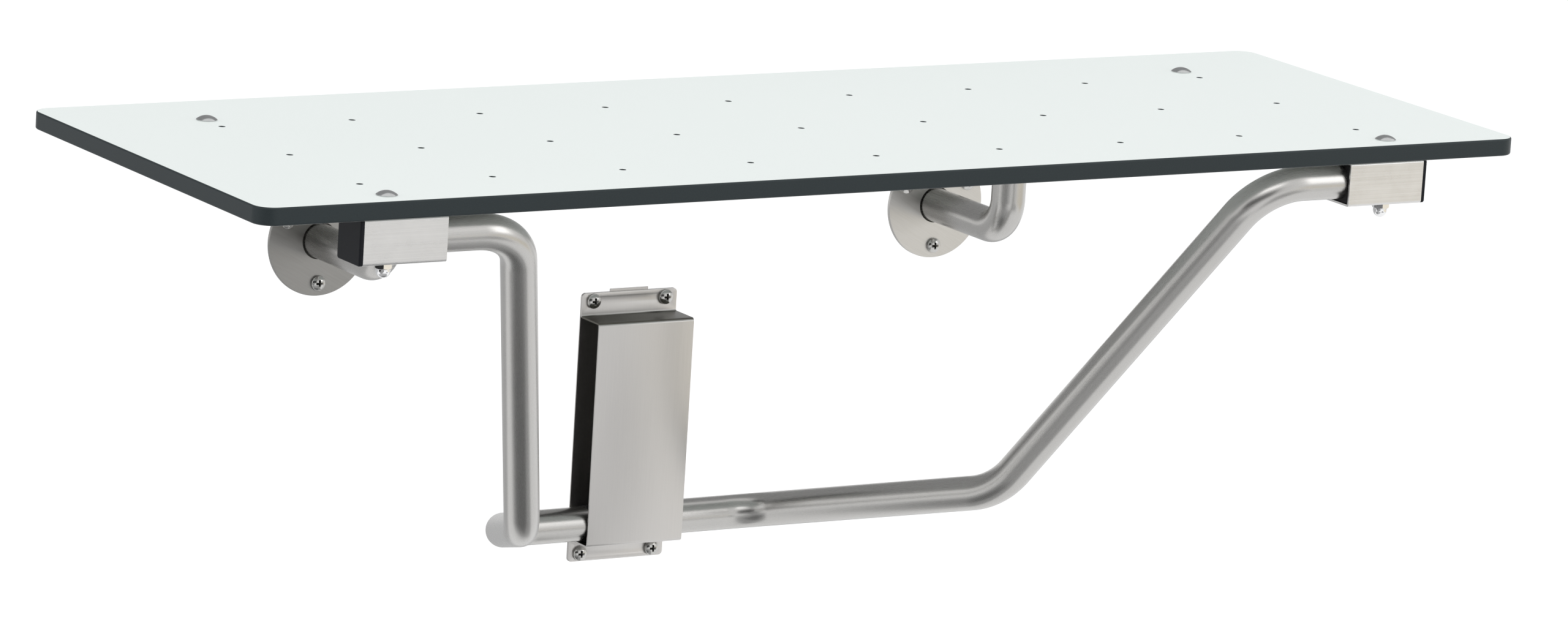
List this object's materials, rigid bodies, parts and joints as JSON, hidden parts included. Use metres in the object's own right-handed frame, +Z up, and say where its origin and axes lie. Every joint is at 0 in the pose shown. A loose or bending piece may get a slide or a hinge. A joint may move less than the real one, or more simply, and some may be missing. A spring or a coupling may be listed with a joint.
{
  "type": "fold down wall seat",
  "caption": "Fold down wall seat: a drilled laminate plate hinged on two wall tubes, held level by a bent tube frame whose bar slides in a wall bracket.",
  "frame": {"origin": "middle of the wall plane, midway between the two wall flanges, at the height of their centres", "axes": "+X to the right seen from the front, +Y into the wall, +Z up; the seat is down, as in the picture"},
  "size_m": [1.02, 0.4004, 0.3708],
  "materials": {
    "seat_laminate": "satin pale mint face on a dark slate core",
    "tube_steel": "satin",
    "flange_steel": "satin",
    "sleeve_steel": "brushed lengthwise",
    "bracket_steel": "fine brushed",
    "screw_steel": "plain",
    "bolt_steel": "plain",
    "nut_steel": "polished",
    "plug_plastic": "moulded",
    "nylon": "moulded"
  },
  "bodies": {
    "wall_hinges": {"left_wall_tube": "tube_steel", "right_wall_tube": "tube_steel", "left_flange": "flange_steel", "right_flange": "flange_steel", "left_flange_screws": "screw_steel", "right_flange_screws": "screw_steel"},
    "seat": {"seat_plate": "seat_laminate", "seat_bolts": "bolt_steel", "acorn_nuts": "nut_steel", "front_left_sleeve": "sleeve_steel", "front_left_plug": "plug_plastic", "front_left_bush": "nylon", "front_right_sleeve": "sleeve_steel", "front_right_plug": "plug_plastic", "front_right_bush": "nylon", "rear_left_sleeve": "sleeve_steel", "rear_left_plug": "plug_plastic", "rear_left_bush": "nylon", "rear_right_sleeve": "sleeve_steel", "rear_right_plug": "plug_plastic", "rear_right_bush": "nylon"},
    "support": {"support_frame": "tube_steel"},
    "glide": {"bar_glide": "nylon"},
    "guide": {"guide_bracket": "bracket_steel", "guide_back_plate": "bracket_steel", "bracket_screws": "screw_steel"}
  },
  "joints": [
    {"name": "seat_fold", "type": "hinge", "parent": "wall_hinges", "child": "seat", "pos_m": [0, -0.1016, 0.085], "axis": [-1, 0, 0], "range_deg": [0, 90]},
    {"name": "leg_swing", "type": "hinge", "parent": "seat", "child": "support", "pos_m": [0, -0.3666, 0.085], "axis": [1, 0, 0], "range_deg": [0, 51.9]},
    {"name": "glide_turn", "type": "hinge", "parent": "support", "child": "glide", "pos_m": [0, -0.0145, -0.222], "axis": [1, 0, 0], "range_deg": [0, 38.2]},
    {"name": "guide_slide", "type": "slide", "parent": "glide", "child": "guide", "axis": [0, 0, -1], "range_m": [0, 0.1131]}
  ],
  "couplings": [
    {"joint": "leg_swing", "follows": "seat_fold", "ratio": 0.5759},
    {"joint": "glide_turn", "follows": "seat_fold", "ratio": 0.4241},
    {"joint": "guide_slide", "follows": "seat_fold", "m_per_rad": 0.071969}
  ]
}
